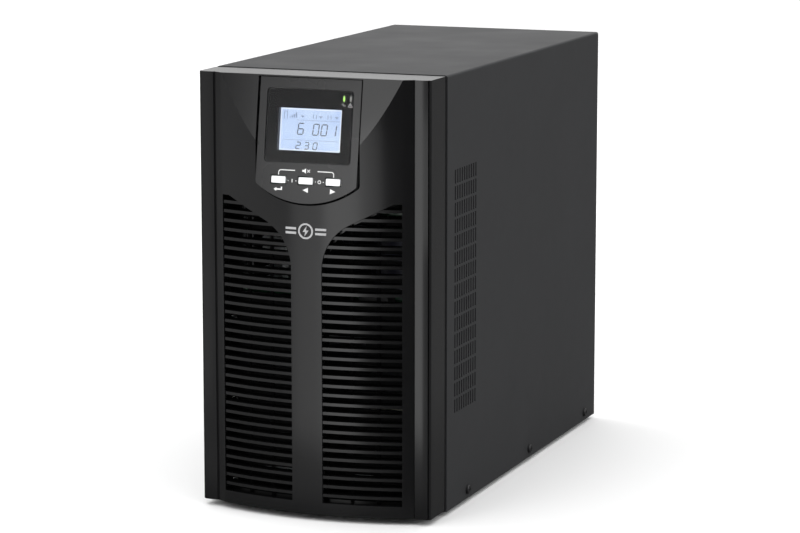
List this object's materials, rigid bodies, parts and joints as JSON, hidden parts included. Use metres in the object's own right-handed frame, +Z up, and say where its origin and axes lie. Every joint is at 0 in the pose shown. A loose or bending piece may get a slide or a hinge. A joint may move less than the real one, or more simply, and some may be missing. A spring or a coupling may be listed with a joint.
{
  "type": "uninterruptible power supply",
  "caption": "Black tower uninterruptible power supply with a bowed louvred front, a leaning display panel with buttons, a sheet-steel case, rear fans, inlet and outlets.",
  "frame": {"origin": "bottom centre of the bounding box, on the plane that the rubber feet stand on", "axes": "+Z up, -Y towards the louvred front with the display, +Y towards the rear panel, +X to the right seen from the front"},
  "size_m": [0.1944, 0.4272, 0.3395],
  "materials": {
    "bezel_black": "satin gloss black ABS",
    "louvre_black": "satin gloss black ABS",
    "panel_charcoal": "satin charcoal ABS",
    "window_smoke": "smoked acrylic, polished",
    "lcd_face": "pale blue lit display",
    "backlight_white": "white moulded frame",
    "light_guide": "clear polycarbonate",
    "board_green": "solder mask",
    "switch_black": "moulded",
    "button_white": "white satin plastic",
    "ribbon_grey": "flat ribbon cable",
    "cover_paint": "fine-texture black powder coat",
    "chassis_zinc": "zinc-plated sheet steel",
    "rear_paint": "fine-texture black powder coat",
    "screw_black": "black oxide",
    "screw_zinc": "bright zinc",
    "foot_rubber": "matt black rubber",
    "battery_case": "moulded ABS",
    "terminal_tin": "tinned brass blades",
    "lead_black": "insulated lead",
    "lead_red": "insulated lead",
    "plug_grey": "moulded nylon",
    "insulator": "vulcanised fibre",
    "sink_aluminium": "extruded",
    "package_black": "epoxy package",
    "copper_winding": "enamelled copper wire",
    "moulding_black": "moulded",
    "can_sleeve": "shrink sleeve",
    "ferrite": "ferrite",
    "winding_tape": "yellow polyester tape",
    "relay_case": "moulded",
    "fan_black": "glass-filled plastic",
    "guard_chrome": "nickel-plated wire",
    "socket_black": "moulded",
    "contact_nickel": "nickel-plated brass",
    "breaker_white": "white plastic",
    "port_metal": "nickel-plated shell",
    "terminal_green": "moulded"
  },
  "bodies": {
    "case": {"front_bezel": "bezel_black", "front_grille": "louvre_black", "display_panel": "panel_charcoal", "display_window": "window_smoke", "lcd_panel": "lcd_face", "lcd_backlight": "backlight_white", "light_guides": "light_guide", "display_board": "board_green", "button_switches": "switch_black", "display_cable": "ribbon_grey", "cover": "cover_paint", "chassis_tray": "chassis_zinc", "rear_panel": "rear_paint", "corner_brackets": "chassis_zinc", "side_screws": "screw_black", "rubber_feet": "foot_rubber", "battery_terminals": "terminal_tin", "battery_tray": "chassis_zinc", "battery_divider": "insulator", "battery_door": "rear_paint", "battery_plug": "plug_grey", "battery_lead_positive": "lead_red", "battery_leads": "lead_black", "shelf": "chassis_zinc", "standoffs": "screw_zinc", "power_board": "board_green", "heatsinks": "sink_aluminium", "power_transistors": "package_black", "inductor_coils": "copper_winding", "inductor_bases": "moulding_black", "filter_capacitors": "can_sleeve", "transformer_core": "ferrite", "transformer_winding": "winding_tape", "relays": "relay_case", "control_board": "board_green", "inner_screws": "screw_zinc", "fan_frames": "fan_black", "fan_guards": "guard_chrome", "outlet_block": "socket_black", "socket_contacts": "contact_nickel", "power_inlet": "socket_black", "breaker_body": "socket_black", "serial_port": "port_metal", "usb_port": "port_metal", "port_board": "board_green", "epo_terminal": "terminal_green", "slot_cover": "rear_paint", "rear_screws": "screw_zinc", "battery_lower_front": "battery_case", "battery_lower_middle": "battery_case", "battery_lower_rear": "battery_case", "battery_upper_front": "battery_case", "battery_upper_middle": "battery_case", "battery_upper_rear": "battery_case"},
    "enter_button": {"button_enter": "button_white"},
    "left_button": {"button_left": "button_white"},
    "right_button": {"button_right": "button_white"},
    "left_impeller": {"fan_impeller_left": "fan_black"},
    "right_impeller": {"fan_impeller_right": "fan_black"},
    "reset_button": {"breaker_button": "breaker_white"}
  },
  "joints": [
    {"name": "enter_button_press", "type": "slide", "parent": "case", "child": "enter_button", "axis": [0, 0.9882, -0.1529], "range_m": [0, 0.0008], "stiffness_N_per_m": 400, "springref_m": -0.001},
    {"name": "left_button_press", "type": "slide", "parent": "case", "child": "left_button", "axis": [0, 0.9882, -0.1529], "range_m": [0, 0.0008], "stiffness_N_per_m": 400, "springref_m": -0.001},
    {"name": "right_button_press", "type": "slide", "parent": "case", "child": "right_button", "axis": [0, 0.9882, -0.1529], "range_m": [0, 0.0008], "stiffness_N_per_m": 400, "springref_m": -0.001},
    {"name": "left_fan_spin", "type": "hinge", "parent": "case", "child": "left_impeller", "pos_m": [-0.0425, 0.19051, 0.2895], "axis": [0, 1, 0], "continuous": true},
    {"name": "right_fan_spin", "type": "hinge", "parent": "case", "child": "right_impeller", "pos_m": [0.0425, 0.19051, 0.2895], "axis": [0, 1, 0], "continuous": true},
    {"name": "breaker_reset", "type": "slide", "parent": "case", "child": "reset_button", "axis": [0, 1, 0], "range_m": [0, 0.003]}
  ]
}
